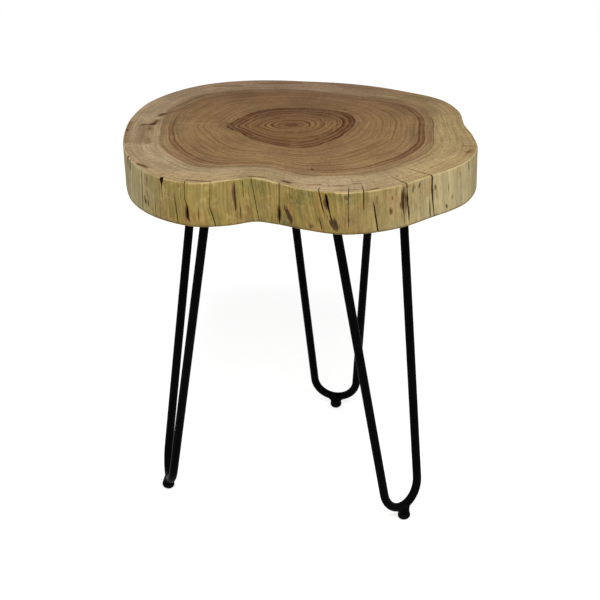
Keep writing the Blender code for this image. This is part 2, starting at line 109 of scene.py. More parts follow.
# Drying cracks, each a line of (mm below the top, bearing, width in mm, depth in mm). On the top
# face the first number is negative and counts inwards from the rim.
CRACKS = (
    ((0, 205.0, 0.5, 0), (1, 205.0, 1.6, 4), (5, 205.1, 1.4, 3), (9, 205.2, 0.5, 0)),
    ((1, 217.3, 0.6, 0), (5, 217.4, 1.8, 2.6), (24, 217.6, 2.0, 2.8), (40, 217.8, 1.8, 2.4),
     (46, 217.9, 1.2, 1.5)),
    ((2, 220.4, 0.6, 0), (6, 220.5, 1.7, 2.4), (14, 220.6, 1.7, 2.4), (18, 220.7, 0.5, 0),
     (29, 220.9, 0.5, 0), (32, 221.0, 1.8, 4), (36, 221.1, 1.6, 4), (40, 221.2, 0.5, 0)),
    ((20, 224.1, 0.5, 0), (28, 224.3, 1.0, 2.5), (46, 224.6, 1.1, 2.5)),
    ((-4, 227.0, 1.0, 0), (-2, 227.0, 3.0, 3), (0, 227.0, 5.2, 6), (4, 227.0, 4.2, 7),
     (7, 227.1, 1.8, 5), (11, 227.1, 1.0, 3), (21, 227.3, 0.8, 2), (24, 227.3, 0.5, 0)),
    ((14, 231.5, 0.5, 0), (20, 231.9, 1.0, 4), (36, 232.6, 1.2, 5), (46, 233.0, 1.2, 4)),
    ((-6, 234.6, 0.6, 0), (0, 234.7, 1.2, 3), (17, 234.9, 1.0, 2), (26, 235.8, 1.6, 6),
     (32, 235.9, 2.6, 7), (37, 236.0, 2.4, 7), (41, 236.7, 1.2, 5), (44, 236.9, 0.5, 0)),
    ((23, 238.8, 0.5, 0), (28, 239.0, 0.9, 1.6), (38, 239.3, 1.0, 2.2), (44, 239.5, 0.5, 0)),
    ((-3, 241.5, 0.5, 0), (2, 241.5, 0.8, 1.5), (25, 241.7, 0.9, 1.5), (33, 242.5, 1.2, 2.6),
     (46, 243.7, 1.0, 2.2)),
    ((1, 247.3, 0.5, 0), (6, 247.5, 0.9, 1.8), (30, 248.5, 0.9, 1.6), (37, 248.8, 0.5, 0)),
    ((0, 248.4, 0.5, 0), (23, 249.4, 0.5, 0), (28, 249.6, 0.8, 2), (38, 250.0, 0.9, 2.5),
     (44, 250.2, 0.5, 0)),
    ((0, 249.6, 0.5, 0), (4, 249.8, 0.9, 1.8), (18, 250.3, 0.9, 1.8), (23, 250.6, 0.5, 0),
     (46, 251.6, 0.5, 0)),
    ((-2, 252.3, 0.5, 0), (1, 252.4, 1.0, 2.6), (20, 253.8, 1.0, 2.2), (46, 255.8, 1.1, 2.4)),
    ((-4, 263.4, 0.5, 0), (0, 263.4, 1.1, 3), (20, 263.4, 0.9, 2), (30, 263.4, 1.6, 3),
     (40, 263.4, 1.8, 3), (46, 263.4, 1.2, 1.5)),
    ((0, 274.6, 0.5, 0), (28, 276.1, 0.5, 0), (33, 276.5, 1.0, 4), (41, 277.0, 0.9, 4),
     (44, 277.2, 0.5, 0)),
    ((-14, 276.6, 0.5, 0), (-8, 276.4, 0.9, 3), (-2, 276.0, 1.0, 4), (14, 276.9, 1.1, 5),
     (26, 277.8, 0.5, 0), (46, 278.4, 0.5, 0)),
    ((2, 277.9, 0.5, 0), (4, 278.1, 1.8, 6), (12, 278.5, 2.2, 7), (22, 279.1, 1.2, 5),
     (30, 279.7, 0.9, 1.2), (36, 280.2, 1.2, 1), (41, 280.5, 1.0, 1), (45, 280.7, 0.8, 0)),
    ((-20, 285.8, 0.5, 0), (-10, 285.0, 0.9, 2.5), (0, 284.3, 1.0, 4), (12, 284.2, 0.9, 1.8),
     (22, 284.3, 0.8, 1.1), (36, 284.4, 0.8, 1.3), (44, 284.5, 0.5, 0)),
    ((-23, 290.1, 0.5, 0), (-10, 289.2, 1.0, 3), (0, 288.6, 1.2, 5), (12, 288.6, 1.0, 4),
     (22, 288.7, 0.5, 0)),
    ((12, 291.4, 0.5, 0), (18, 291.8, 1.2, 5), (30, 292.3, 1.5, 6), (46, 293.0, 1.4, 4)),
    ((2, 301.1, 0.5, 0), (6, 301.2, 1.4, 1.5), (14, 301.2, 1.8, 2), (24, 301.3, 1.4, 1.5),
     (30, 301.5, 0.8, 1), (33, 301.6, 0.5, 0)),
    ((-31, 301.7, 0.6, 0), (-16, 302.1, 1.3, 4), (-2, 302.5, 1.5, 6), (10, 302.6, 1.5, 7),
     (25, 302.9, 1.8, 7), (40, 303.3, 1.0, 5), (44, 303.4, 0.5, 0)),
    ((-40, 309.3, 0.5, 0), (0, 311.2, 0.5, 0), (22, 311.5, 0.5, 0), (28, 311.8, 0.9, 4),
     (46, 312.2, 1.0, 4)),
    ((-40, 310.6, 0.6, 0), (-30, 311.2, 1.6, 4), (-20, 311.7, 1.8, 6), (-2, 312.7, 2.0, 9),
     (2, 312.9, 2.6, 10), (17, 312.8, 2.9, 10), (30, 313.1, 2.0, 9), (46, 313.6, 1.6, 7)),
    ((36, 318.5, 0.5, 0), (39, 318.7, 1.6, 3), (41, 318.8, 1.6, 3), (44, 318.9, 0.5, 0)),
    ((1, 330.3, 0.5, 0), (4, 330.4, 1.2, 3), (7, 330.6, 0.6, 1), (10, 330.8, 1.2, 3),
     (14, 331.0, 0.5, 0)),
    ((-8, 352.0, 0.5, 0), (0, 352.2, 1.0, 5), (22, 352.6, 1.2, 6), (40, 353.0, 0.5, 0)),
    ((8, 14.0, 0.5, 0), (18, 14.4, 1.0, 5), (46, 15.2, 1.2, 6)),
    ((-5, 37.0, 0.5, 0), (0, 37.0, 1.0, 5), (30, 37.8, 1.4, 7), (46, 38.2, 1.4, 7)),
    ((10, 58.0, 0.5, 0), (20, 58.4, 0.9, 4), (36, 59.0, 0.5, 0)),
    ((-14, 76.5, 0.5, 0), (0, 76.0, 1.2, 6), (24, 76.4, 1.6, 8), (46, 77.0, 1.6, 8)),
    ((0, 101.0, 0.5, 0), (6, 101.2, 0.9, 4), (30, 101.8, 0.9, 4), (38, 102.0, 0.5, 0)),
    ((-4, 128.0, 0.5, 0), (0, 128.0, 1.0, 5), (26, 128.6, 1.4, 7), (46, 129.2, 1.2, 6)),
    ((16, 147.0, 0.5, 0), (26, 147.3, 1.0, 4), (46, 147.8, 1.0, 4)),
    ((-3, 169.0, 0.5, 0), (0, 169.0, 0.9, 4), (28, 169.5, 1.0, 5), (42, 169.8, 0.5, 0)),
    ((20, 188.0, 0.5, 0), (28, 188.2, 0.8, 3), (46, 188.6, 0.8, 3)),
)

# Dark rings in the eye and near the edge of the heartwood, as (share of growth, width, strength)
EYE_MARKS = ((0.028, 0.010, 0.6), (0.070, 0.007, 0.55), (0.108, 0.008, 0.7), (0.146, 0.006, 0.6),
             (0.184, 0.008, 0.8), (0.218, 0.006, 0.7), (0.254, 0.008, 0.85), (0.290, 0.0105, 1.0),
             (0.322, 0.008, 0.9), (0.350, 0.012, 1.0))
EDGE_MARKS = ((0.655, 0.006, 0.25), (0.703, 0.007, 0.95), (0.728, 0.006, 0.8), (0.748, 0.006, 0.3))
MARK_INNER = 1.3  # widths over which such a ring fades towards the middle
MARK_OUTER = 0.7  # and towards the rim

# How dark those rings are, and how pale the wall is, by bearing
EYE_INK = ((5, 1.0), (30, 0.95), (60, 0.85), (90, 0.95), (120, 1.0), (150, 1.0), (183, 1.0),
           (200, 1.0), (222, 1.0), (245, 0.9), (270, 0.85), (300, 0.9), (325, 0.95), (345, 1.0))
EDGE_INK = ((0, 1.0), (25, 0.9), (50, 0.4), (90, 0.3), (140, 0.35), (165, 0.3), (182, 0.45),
            (193, 0.8), (215, 0.7), (240, 0.7), (255, 0.5), (270, 0.35), (300, 0.6), (325, 1.0))
PALE = ((20, 0.5), (60, 0.2), (110, 0.5), (150, 0.3), (185, 1.0), (205, 1.0), (216, 0.85),
        (228, 0.1), (240, 0.0), (255, 0.05), (275, 0.0), (290, 0.15), (302, 0.5), (315, 0.85),
        (335, 1.0))

# Stains on the wall: (bearing, mm below the top, half width and half height in mm, lean, strength)
WALL_STAINS = (
    (205, 5, 3, 7, 0, 1), (208, 6, 2.8, 7, 0, 0.9), (217.8, 0, 5, 2.2, 0, 0.5),
    (219.6, 33, 3, 6, 0.2, 0.75), (227, 2, 3.2, 4, 0, 0.9), (235.9, 33, 2.4, 9, 0.1, 0.9),
    (241, 36, 1.6, 9, 0.1, 0.35), (247.9, 20, 3.2, 19, 0.14, 0.7), (250.2, 10, 1.4, 9, 0.1, 0.5),
    (250, 34, 1.6, 7, 0.1, 0.6), (254.8, 30, 9, 5, 0, 0.2), (263.4, 34, 3, 12, 0, 0.9),
    (264.6, 26, 6, 18, 0, 0.25), (265.8, 30, 1.5, 10, 0.3, 0.9), (266.9, 34, 1.6, 12, 0.3, 1),
    (267.8, 37, 1.5, 7, 0.3, 0.7), (266.8, 34, 4.5, 12, 0.3, 0.5), (274, 41, 7, 4, 0, 0.5),
    (278.4, 12, 2.6, 10, 0.12, 0.85), (277.4, 15, 1.4, 7, 0.12, 0.6), (279.6, 34, 1.6, 8, 0.15, 0.9),
    (280.8, 35, 2.2, 9, 0.1, 0.95), (281.6, 38, 1.5, 6, 0.12, 0.7), (280.6, 36, 5, 8, 0.12, 0.55),
    (281.2, 12, 1.6, 7, 0.1, 0.45), (283.4, 6, 3.6, 4, 0, 0.6), (284.6, 30, 2, 14, 0, 0.4),
    (293.8, 18, 3.4, 5, 0, 0.6), (297, 26, 3, 6, 0, 0.6), (297.6, 12, 2.4, 4, 0, 0.6),
    (300.5, 20, 1.6, 16, 0.02, 0.7), (301.2, 20, 1.6, 24, 0.02, 0.95), (302, 10, 1.6, 14, 0, 0.75),
    (302.8, 20, 1.6, 18, 0.05, 0.8), (301.6, 16, 4.6, 24, 0, 0.6), (303.4, 30, 1.6, 16, 0.06, 0.7),
    (303, 3, 4, 3, 0, 0.6), (305.2, 8, 3.6, 8, 0, 0.6), (307.6, 6, 2.6, 5, 0, 0.55),
    (311.7, 36, 1.6, 12, 0.05, 0.5), (314.2, 14, 2.6, 5, 0, 0.6), (318.4, 40, 3.2, 4, 0, 0.5),
    (321, 31, 3, 6, 0, 0.4), (330.4, 7, 1.6, 8, 0, 0.7),
)

# Marks on the top, in mm: a line from (x, y) to (x, y), its half width, and its strength, which is
# negative for a pale mark
TOP_MARKS = (
    (-160, 64, -164, 55, 2.6, 0.48), (-164, 40, -168, 25, 3, 0.56), (-168, 25, -180, 22, 4, 0.46),
    (-171, 16, -170, 6, 2.6, 0.28), (-169, -30, -167, -41, 2.8, 0.28), (-176, 6, -177, -36, 13, 0.30),
    (-195, 33, -197, 4, 4, 0.38), (-197, 4, -193, -39, 3.5, 0.32), (-135, 87, -162, 58, 2.6, 0.5),
    (-84, 27, -77, 23, 1.8, 0.7), (-80, 20, -80, 12, 1.8, 0.8), (-80, 12, -75, 3, 2.2, 0.7),
    (-75, 3, -65, -10, 1.8, 0.45), (-77, 23, -67, 19, 1.6, 0.6), (-77, 24, -68, 39, 1.7, 0.55),
    (-56, -20, -48, -23, 2, 0.6), (-48, -27, -40, -33, 2.6, 0.7), (5, 53, 9, 53, 3, 0.3),
    (19, 32, 21, 32, 2.5, 0.3), (-36, 22, -35, 22, 3, 0.35), (-105, 176, -73, 177, 4, 0.35),
    (-45, 185, 3, 187, 4, 0.4), (52, 170, 90, 160, 3, 0.3), (-139, 29, -93, 23, 1.1, -0.6),
    (16, -111, 15, -128, 0.9, 0.45), (15, -132, 15, -131, 2.7, 0.85), (182, -58, 196, -60, 0.9, 0.7),
    (186, -80, 190, -74, 3, 0.5), (55, 76, 57, 76, 3, 0.7), (161, 115, 152, 103, 1, 0.5),
    (-172, -110, -161, -121, 2.8, 0.6), (-116, -161, -91, -166, 1.2, 0.75),
    (-52, -151, -34, -154, 1.4, 0.6), (-16, -165, -9, -171, 2.4, 0.7), (11, -178, 24, -176, 1, 0.65),
    (36, -181, 51, -181, 1, 0.65), (55, -176, 64, -173, 1, 0.65), (37, -193, 60, -192, 1, 0.5),
    (69, -195, 82, -188, 1.3, 0.75),
)

# Legs: bearing and inset of each mounting point under the rim, the way it faces, and its lean
Leg = namedtuple("Leg", "name bearing inset facing splay")
LEGS = (
    Leg("front_leg", -42.6, 0.0963, -47.0, 10.0),
    Leg("left_leg", 199.8, 0.0824, 191.0, 8.0),
    Leg("rear_leg", 68.3, 0.0987, 77.7, 8.0),
)
CLEARANCE = 0.0003
PIECE_SHARP = 40.0  # degrees between faces from which an edge is sharp
ROD_DIAMETER = 0.010
ROD_COAT = 0.0002  # thicker than a usual powder coat, to come nearer to the photograph
ROD_SIDES = 32
STRAND_SPACING = 0.1112
BEND_RADIUS = 0.02875
BEND_STEPS = 56
ROD_SEAT = 0.001

# Mounting plates, with weld beads round the strands
PLATE_THICKNESS = 0.004
PLATE_WIDTH = 0.044
PLATE_OVERHANG = 0.015
PLATE_CORNER = 0.008
PLATE_BEVEL = 0.0006
CORNER_STEPS = 8
WELD_WIDTH = 0.0040
WELD_HEIGHT = 0.0045
WELD_CURVE = (1.3, 1.4)  # powers by which it widens and rises
WELD_STEPS = 7
WELD_SIDES = 72
WELD_RIPPLES = 19
WELD_RIPPLE = 0.0002

# Wood screws with a cross recess
SCREW_INSET = 0.025
SCREW_EDGE = 0.009
SCREW_LENGTH = 0.025
SCREW_POINT = 0.006
SCREW_SIDES = 24
HEAD_DIAMETER = 0.0082
HEAD_HEIGHT = 0.0028
HEAD_ROUND = 0.002
HEAD_STEPS = 6
RECESS_LENGTH = 0.0034
RECESS_WIDTH = 0.0009
RECESS_DEPTH = 0.0016
RECESS_TAPER = 0.55
THREAD_DIAMETER = 0.0042
THREAD_CORE = 0.0029
THREAD_PITCH = 0.0021
THREAD_RIDGE = 0.25  # half of the ridge's foot, in pitches
THREAD_TIP = 0.04  # share of the shank's width that is left at the point
THREAD_ROWS = 96
SCREW_TURN = 37.0  # degrees between the recesses of neighbouring screws

# Feet, each with a fillet of weld that spreads along the bend
FOOT_LENGTH = 0.0124
FILLET_REACH = 0.0125
FILLET_SIDE = 0.0046
FILLET_SINK = 0.0004
FILLET_STEPS = 10
FILLET_CURVE = (0.6, 2.4)  # powers by which it changes across the rod and along it
COLLAR_LENGTH = 0.0045
COLLAR_DIAMETER = 0.0142
COLLAR_BEVEL = 0.0005
STEM_DIAMETER = 0.008
STEM_LENGTH = 0.0055
GLIDE_DIAMETER = 0.0152
GLIDE_DOME = 0.0058
GLIDE_FLAT = 0.0006
GLIDE_LIP = 0.0004
GLIDE_STEPS = 14
FOOT_SIDES = 48

# Camera that took the photograph, fitted to its legs and rim
CAMERA_PLACE = (0.0005, -1.50124, 0.9502)
CAMERA_PITCH = 25.5
CAMERA_ROLL = -0.359
CAMERA_LENS = 82.3
CAMERA_SENSOR = 36.0

# Stage and light
FLOOR_SIZE = 20.0
FLOOR_COLOUR = (0.86, 0.86, 0.86)
FLOOR_GLOW = 0.64
AMBIENT = 0.38
KEY_PLACE = (0.08, -1.05, 1.448)
KEY_SIZE = 0.9
KEY_POWER = 18.0


def around(stations, bearings):
    """Values at some bearings of the smooth closed curve through (bearing, value) stations."""
    at = np.array([station[0] for station in stations], float)
    value = np.array([station[1] for station in stations], float)
    at = np.concatenate((at[-2:] - 360, at, at[:2] + 360))
    value = np.concatenate((value[-2:], value, value[:2]))
    slope = np.zeros_like(at)
    slope[1:-1] = (value[2:] - value[:-2]) / (at[2:] - at[:-2])
    bearings = np.asarray(bearings) % 360
    i = np.clip(np.searchsorted(at, bearings, side="right") - 1, 1, len(at) - 3)
    span = at[i + 1] - at[i]
    t = (bearings - at[i]) / span
    ease = t * t * (3 - 2 * t)
    level = (1 - ease) * value[i] + ease * value[i + 1]
    return level + span * (t * (1 - t) ** 2 * slope[i] - t * t * (1 - t) * slope[i + 1])


def smooth(value, low, high):
    """0 below low, 1 above high, with an eased step between."""
    t = np.clip((value - low) / (high - low), 0, 1)
    return t * t * (3 - 2 * t)


def rim_radius(bearings, height):
    """Distance of the live edge from the rim's centre, at a height above the underside."""
    drop = 1 - height / SLAB_THICKNESS
    return SLAB_RADIUS + around(SWELLS, bearings) + drop * around(FLARES, bearings)


class Columns:
    """Lines of vertices that run from the pith over the rim and back, along the cracks."""

    def __init__(self):
        tracks = [self.run_out(np.array(crack, float)) for crack in CRACKS]
        tracks.sort(key=self.nominal)
        self.tracks = tracks
        self.marks = np.array([self.nominal(track) for track in tracks])
        widest = np.array([track[:, 2].max() / 2 for track in tracks]) * MM
        margin = np.degrees((widest + CRACK_MARGIN) / SLAB_RADIUS)
        # Plain columns keep clear of the cracks, and each moves with the cracks on its two sides.
        plain = self.plain_bearings()
        gap = np.abs((plain[:, None] - self.marks[None] + 180) % 360 - 180)
        plain = plain[(gap > margin[None]).all(1)]
        count = len(tracks)
        after = np.searchsorted(self.marks, plain)
        left = (after - 1) % count
        right = after % count
        start = self.marks[left] + margin[left] - 360 * (after == 0)
        end = self.marks[right] - margin[right] + 360 * (after == count)
        share = (plain - start) / (end - start)
        rows = [(u, a, b, s, NO_CRACK) for u, a, b, s in zip(plain, left, right, share)]
        for k, mark in enumerate(self.marks):
            for offset in CRACK_OFFSETS:
                rows.append((mark + ORDER_STEP * offset, k, k, 0.0, offset))
        rows.sort()
        table = np.array(rows)
        self.bearing = table[:, 0]
        self.left = table[:, 1].astype(int)
        self.right = table[:, 2].astype(int)
        self.share = table[:, 3]
        self.offset = table[:, 4]
        self.cracked = self.offset < NO_CRACK
        self.count = len(table)

    @staticmethod
    def run_out(track):
        """The track, with a tapered end on the underside if it is still open at the lower arris."""
        along, bearing, width, depth = track[-1]
        if depth == 0:
            return track
        return np.vstack((track, (along + CRACK_TAPER * depth, bearing, width / 2, 0.0)))

    @staticmethod
    def nominal(track):
        """Bearing of a track half way down the wall."""
        return np.interp(SLAB_THICKNESS / MM / 2, track[:, 0], track[:, 1])

    @staticmethod
    def plain_bearings():
        found = []
        bearing = 0.0
        while bearing < 360:
            found.append(bearing)
            fine = FINE_SIDE[0] <= bearing < FINE_SIDE[1]
            bearing += math.degrees((FINE_COLUMN if fine else COARSE_COLUMN) / SLAB_RADIUS)
        return np.array(found)

    def read(self, along, part):
        """Bearing, width or depth (part 1, 2 or 3) of each crack at each column's place along."""
        return np.stack([np.interp(along, track[:, 0], track[:, part]) for track in self.tracks])

    def at(self, along):
        """Bearing, crack depth and painted shade of each column at its place along the cracks, in mm.
        """
        every = np.arange(self.count)
        moved = self.read(along, 1) - self.marks[:, None]
        shift = (1 - self.share) * moved[self.left, every] + self.share * moved[self.right, every]
        half = self.read(along, 2)[self.left, every] / 2 * MM
        across = np.where(self.cracked, np.degrees(self.offset * half / SLAB_RADIUS), 0)
        across -= np.where(self.cracked, ORDER_STEP * self.offset, 0)
        cut = np.where(self.cracked, 1 - np.abs(self.offset), 0)
        depth = self.read(along, 3)[self.left, every] * MM
        shade = np.minimum(1, 2 * cut) * smooth(depth, 0, FULL_DARK)
        return self.bearing + shift + across, cut * depth, shade


def growth_distance(growth, bearings, rim):
    """Distance from the rings' middle at which the wood has a share of its growth, by column."""
    heart = np.minimum(around(HEART, bearings), HEART_LIMIT * rim)
    stops = np.stack((0 * rim, around(CORE, bearings), around(EYE, bearings), heart, rim))
    knots = GROWTH_KNOTS
    i = min(np.searchsorted(knots, growth, side="right") - 1, len(knots) - 2)
    t = (growth - knots[i]) / (knots[i + 1] - knots[i])
    return (1 - t) * stops[i] + t * stops[i + 1]


def face_growths(counts):
    """Shares of growth at which a face has its rings of vertices, from the middle outwards."""
    spans = zip(GROWTH_KNOTS, GROWTH_KNOTS[1:], counts)
    return np.concatenate([np.linspace(a, b, n + 1)[1:] for a, b, n in spans])


def quarter(steps):
    """Turns from 0 to a right angle."""
    return [math.pi / 2 * i / steps for i in range(steps + 1)]


class SlabMesh:
    """Rows of vertices from the middle of the top, over the rim, to the middle of the underside."""

    def __init__(self):
        self.columns = Columns()
        self.rows = []
        self.fields = {name: [] for name in (*SHADED_FIELDS, "along")}
        for growth in face_growths(ROWS_TOP):
            self.add_face_row(growth, SLAB_THICKNESS, TOP_ROUND)
        turns = quarter(ROWS_ROUND)[1:]
        for turn in turns:
            drop = TOP_ROUND * (1 - math.cos(turn))
            inset = TOP_ROUND * (1 - math.sin(turn))
            self.add_wall_row(SLAB_THICKNESS - drop, inset, math.sin(turn))
        for height in np.linspace(SLAB_THICKNESS - TOP_ROUND, BOTTOM_ROUND, ROWS_WALL)[1:]:
            self.add_wall_row(height, 0.0, 1.0)
        for turn in turns[:-1]:
            drop = BOTTOM_ROUND * (1 - math.sin(turn))
            inset = BOTTOM_ROUND * (1 - math.cos(turn))
            self.add_wall_row(drop, inset, math.cos(turn))
        for growth in face_growths(ROWS_UNDER)[::-1]:
            self.add_face_row(growth, 0.0, BOTTOM_ROUND)

    def add_row(self, points, about, **fields):
        """Keep a row of points and, for each, the values that the paint reads there."""
        self.rows.append(points)
        fields["eye_ink"] = around(EYE_INK, about)
        fields["edge_ink"] = around(EDGE_INK, about)
        fields["pale"] = around(PALE, about)
        for name, values in fields.items():
            self.fields[name].append(np.broadcast_to(values, len(points)))

    def cut(self, points, out, along, depth):
        """Move points into the wood by a crack's depth, turning the cut at the rim."""
        bottom = SLAB_THICKNESS / MM
        on_top = math.pi / 2 * smooth(-along, -TURN_LENGTH, TURN_LENGTH)
        below = math.pi / 2 * smooth(along, bottom - TURN_LENGTH, bottom + TURN_LENGTH)
        inward = np.cos(on_top) * np.cos(below) * depth
        points[:, :2] -= inward[:, None] * out
        points[:, 2] += (np.sin(below) - np.sin(on_top)) * depth

    def add_face_row(self, growth, height, edge):
        """A ring of vertices on the top or the underside, along one growth ring."""
        top = height > 0
        middle = np.array(RINGS_MIDDLE)
        bearings = self.columns.bearing
        for _ in range(2):
            radius = rim_radius(bearings, height) - edge - WALL_INSET
            turn = np.radians(bearings)
            rim = np.stack((radius * np.cos(turn), radius * np.sin(turn)), 1) - middle
            reach = np.hypot(rim[:, 0], rim[:, 1])
            about = np.degrees(np.arctan2(rim[:, 1], rim[:, 0]))
            distance = growth_distance(growth, about, reach)
            inset = (reach - distance + edge) / MM
            along = -inset if top else SLAB_THICKNESS / MM + inset
            bearings, depth, crack = self.columns.at(along)
        out = rim / reach[:, None]
        shift = np.array(PITH_SHIFT) * max(0, 1 - growth / EYE_GROWTH)
        flat = middle + shift + out * distance[:, None]
        points = np.column_stack((flat, np.full(len(flat), height)))
        stain = self.top_stain(flat) if top else 0.0
        self.cut(points, out, along, depth)
        self.add_row(points, about, growth=growth, wall=0.0, crack=crack, stain=stain, along=along)

    def add_wall_row(self, height, inset, wall):
        along = np.full(self.columns.count, (SLAB_THICKNESS - height) / MM)
        bearings, depth, crack = self.columns.at(along)
        turn = np.radians(bearings)
        out = np.stack((np.cos(turn), np.sin(turn)), 1)
        radius = rim_radius(bearings, height) - inset - WALL_INSET - wall * self.relief(height)
        points = np.column_stack((out * radius[:, None], np.full(len(out), height)))
        self.cut(points, out, along, depth)
        stain = self.wall_stain(bearings, along)
        self.add_row(points, bearings, growth=1.0, wall=wall, crack=crack, stain=stain, along=along)

    def relief(self, height):
        """Depth of the low ridges along the fibres of the wall."""
        found = []
        for bearing in self.columns.bearing:
            turn = math.radians(bearing)
            place = Vector((math.cos(turn), math.sin(turn), 0)) * SLAB_RADIUS
            depth = 0.5
            for across, up, start, share in RELIEF_WAVES:
                depth += share * noise.noise(place * across + Vector((0, 0, height * up + start)))
            found.append(depth)
        return WALL_RELIEF * np.clip(found, 0, 1)

    @staticmethod
    def wall_stain(bearings, along):
        total = np.zeros(len(bearings))
        for bearing, drop, wide, high, lean, strength in WALL_STAINS:
            across = np.radians(bearings - bearing) * SLAB_RADIUS / MM - lean * (along - drop)
            spread = (across / wide) ** 2 + ((along - drop) / high) ** 2
            total = np.maximum(total, strength * np.exp(-spread))
        return total

    @staticmethod
    def top_stain(flat):
        total = np.zeros(len(flat))
        for start_x, start_y, end_x, end_y, half_width, strength in TOP_MARKS:
            line = np.array((end_x - start_x, end_y - start_y), float)
            off = flat / MM - (start_x, start_y)
            share = np.clip(off @ line / (line @ line + 1e-9), 0, 1)
            gap = off - share[:, None] * line
            total += strength * np.exp(-(gap**2).sum(1) / half_width**2)
        return np.clip(total, -1, 1)

    def faces(self):
        """Quads between the rows and triangles about the two middle vertices."""
        count = self.columns.count
        rows = len(self.rows)
        first = np.arange(count)
        second = (first + 1) % count
        strips = []
        for row in range(rows - 1):
            near = row * count
            far = near + count
            strips.append(np.stack((near + first, far + first, far + second, near + second), 1))
        quads = np.concatenate(strips).tolist()
        top = rows * count
        last = top - count
        fan = np.stack((np.full(count, top), first, second), 1).tolist()
        base = np.stack((last + first, np.full(count, top + 1), last + second), 1).tolist()
        return quads + fan + base

    def points(self):
        """Every vertex in the part's frame, with the slab's box centred as in the part."""
        pith = np.add(RINGS_MIDDLE, PITH_SHIFT)
        ends = [(*pith, SLAB_THICKNESS), (*pith, 0.0)]
        points = np.concatenate((*self.rows, ends))
        middle = (points.min(0) + points.max(0)) / 2
        points[:, :2] -= middle[:2]
        points[:, 2] += LEG_HEIGHT
        return points

    def field(self, name, ends=(0.0, 0.0)):
        """One of the paint's values at every vertex, with its values at the two middle ones."""
        return np.concatenate((*self.fields[name], ends)).astype(np.float32)

    def grain(self):
        """Place of every vertex on a wall of even radius, to draw the paint out along the fibres."""
        turn = np.radians(np.tile(self.columns.bearing, len(self.rows)))
        turn = np.concatenate((turn, (0, 0)))
        along = self.field("along", MIDDLE_ALONG) * MM
        grain = np.stack((SLAB_RADIUS * np.cos(turn), SLAB_RADIUS * np.sin(turn), along), 1)
        return grain.astype(np.float32)


def add_object(name, data):
    made = bpy.data.objects.new(name, data)
    bpy.context.scene.collection.objects.link(made)
    return made


def add_mesh(mesh, material, sharp, node):
    """Shade a mesh, link it and let it stand for its node."""
    mesh.shade_smooth()
    mesh.set_sharp_from_angle(angle=math.radians(sharp))
    mesh.materials.append(material)
    piece = add_object(mesh.name, mesh)
    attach(piece, "root")
    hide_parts(node)


def make_slab(material):
    slab = SlabMesh()
    mesh = bpy.data.meshes.new("live_edge_slab_wood")
    mesh.from_pydata(slab.points().tolist(), [], slab.faces())
    mesh.validate()
    for name in SHADED_FIELDS:
        layer = mesh.attributes.new(name, "FLOAT", "POINT")
        layer.data.foreach_set("value", slab.field(name))
    layer = mesh.attributes.new("grain", "FLOAT_VECTOR", "POINT")
    layer.data.foreach_set("vector", slab.grain().ravel())
    add_mesh(mesh, material, SLAB_SHARP, "live_edge_slab")


def linear(red, green, blue):
    """Shader colour of an sRGB colour given from 0 to 255."""
    found = []
    for level in (red, green, blue):
        share = level / 255
        found.append(share / 12.92 if share < 0.04045 else ((share + 0.055) / 1.055) ** 2.4)
    return (*found, 1.0)


def feed(node, inputs):
    """Link or set a node's sockets, given by name or number."""
    for key, value in inputs.items():
        if isinstance(value, bpy.types.NodeSocket):
            node.id_data.links.new(value, node.inputs[key])
        else:
            node.inputs[key].default_value = value


def add_node(tree, kind, inputs, **settings):
    made = tree.nodes.new(kind)
    for key, value in settings.items():
        setattr(made, key, value)
    feed(made, inputs)
    return made


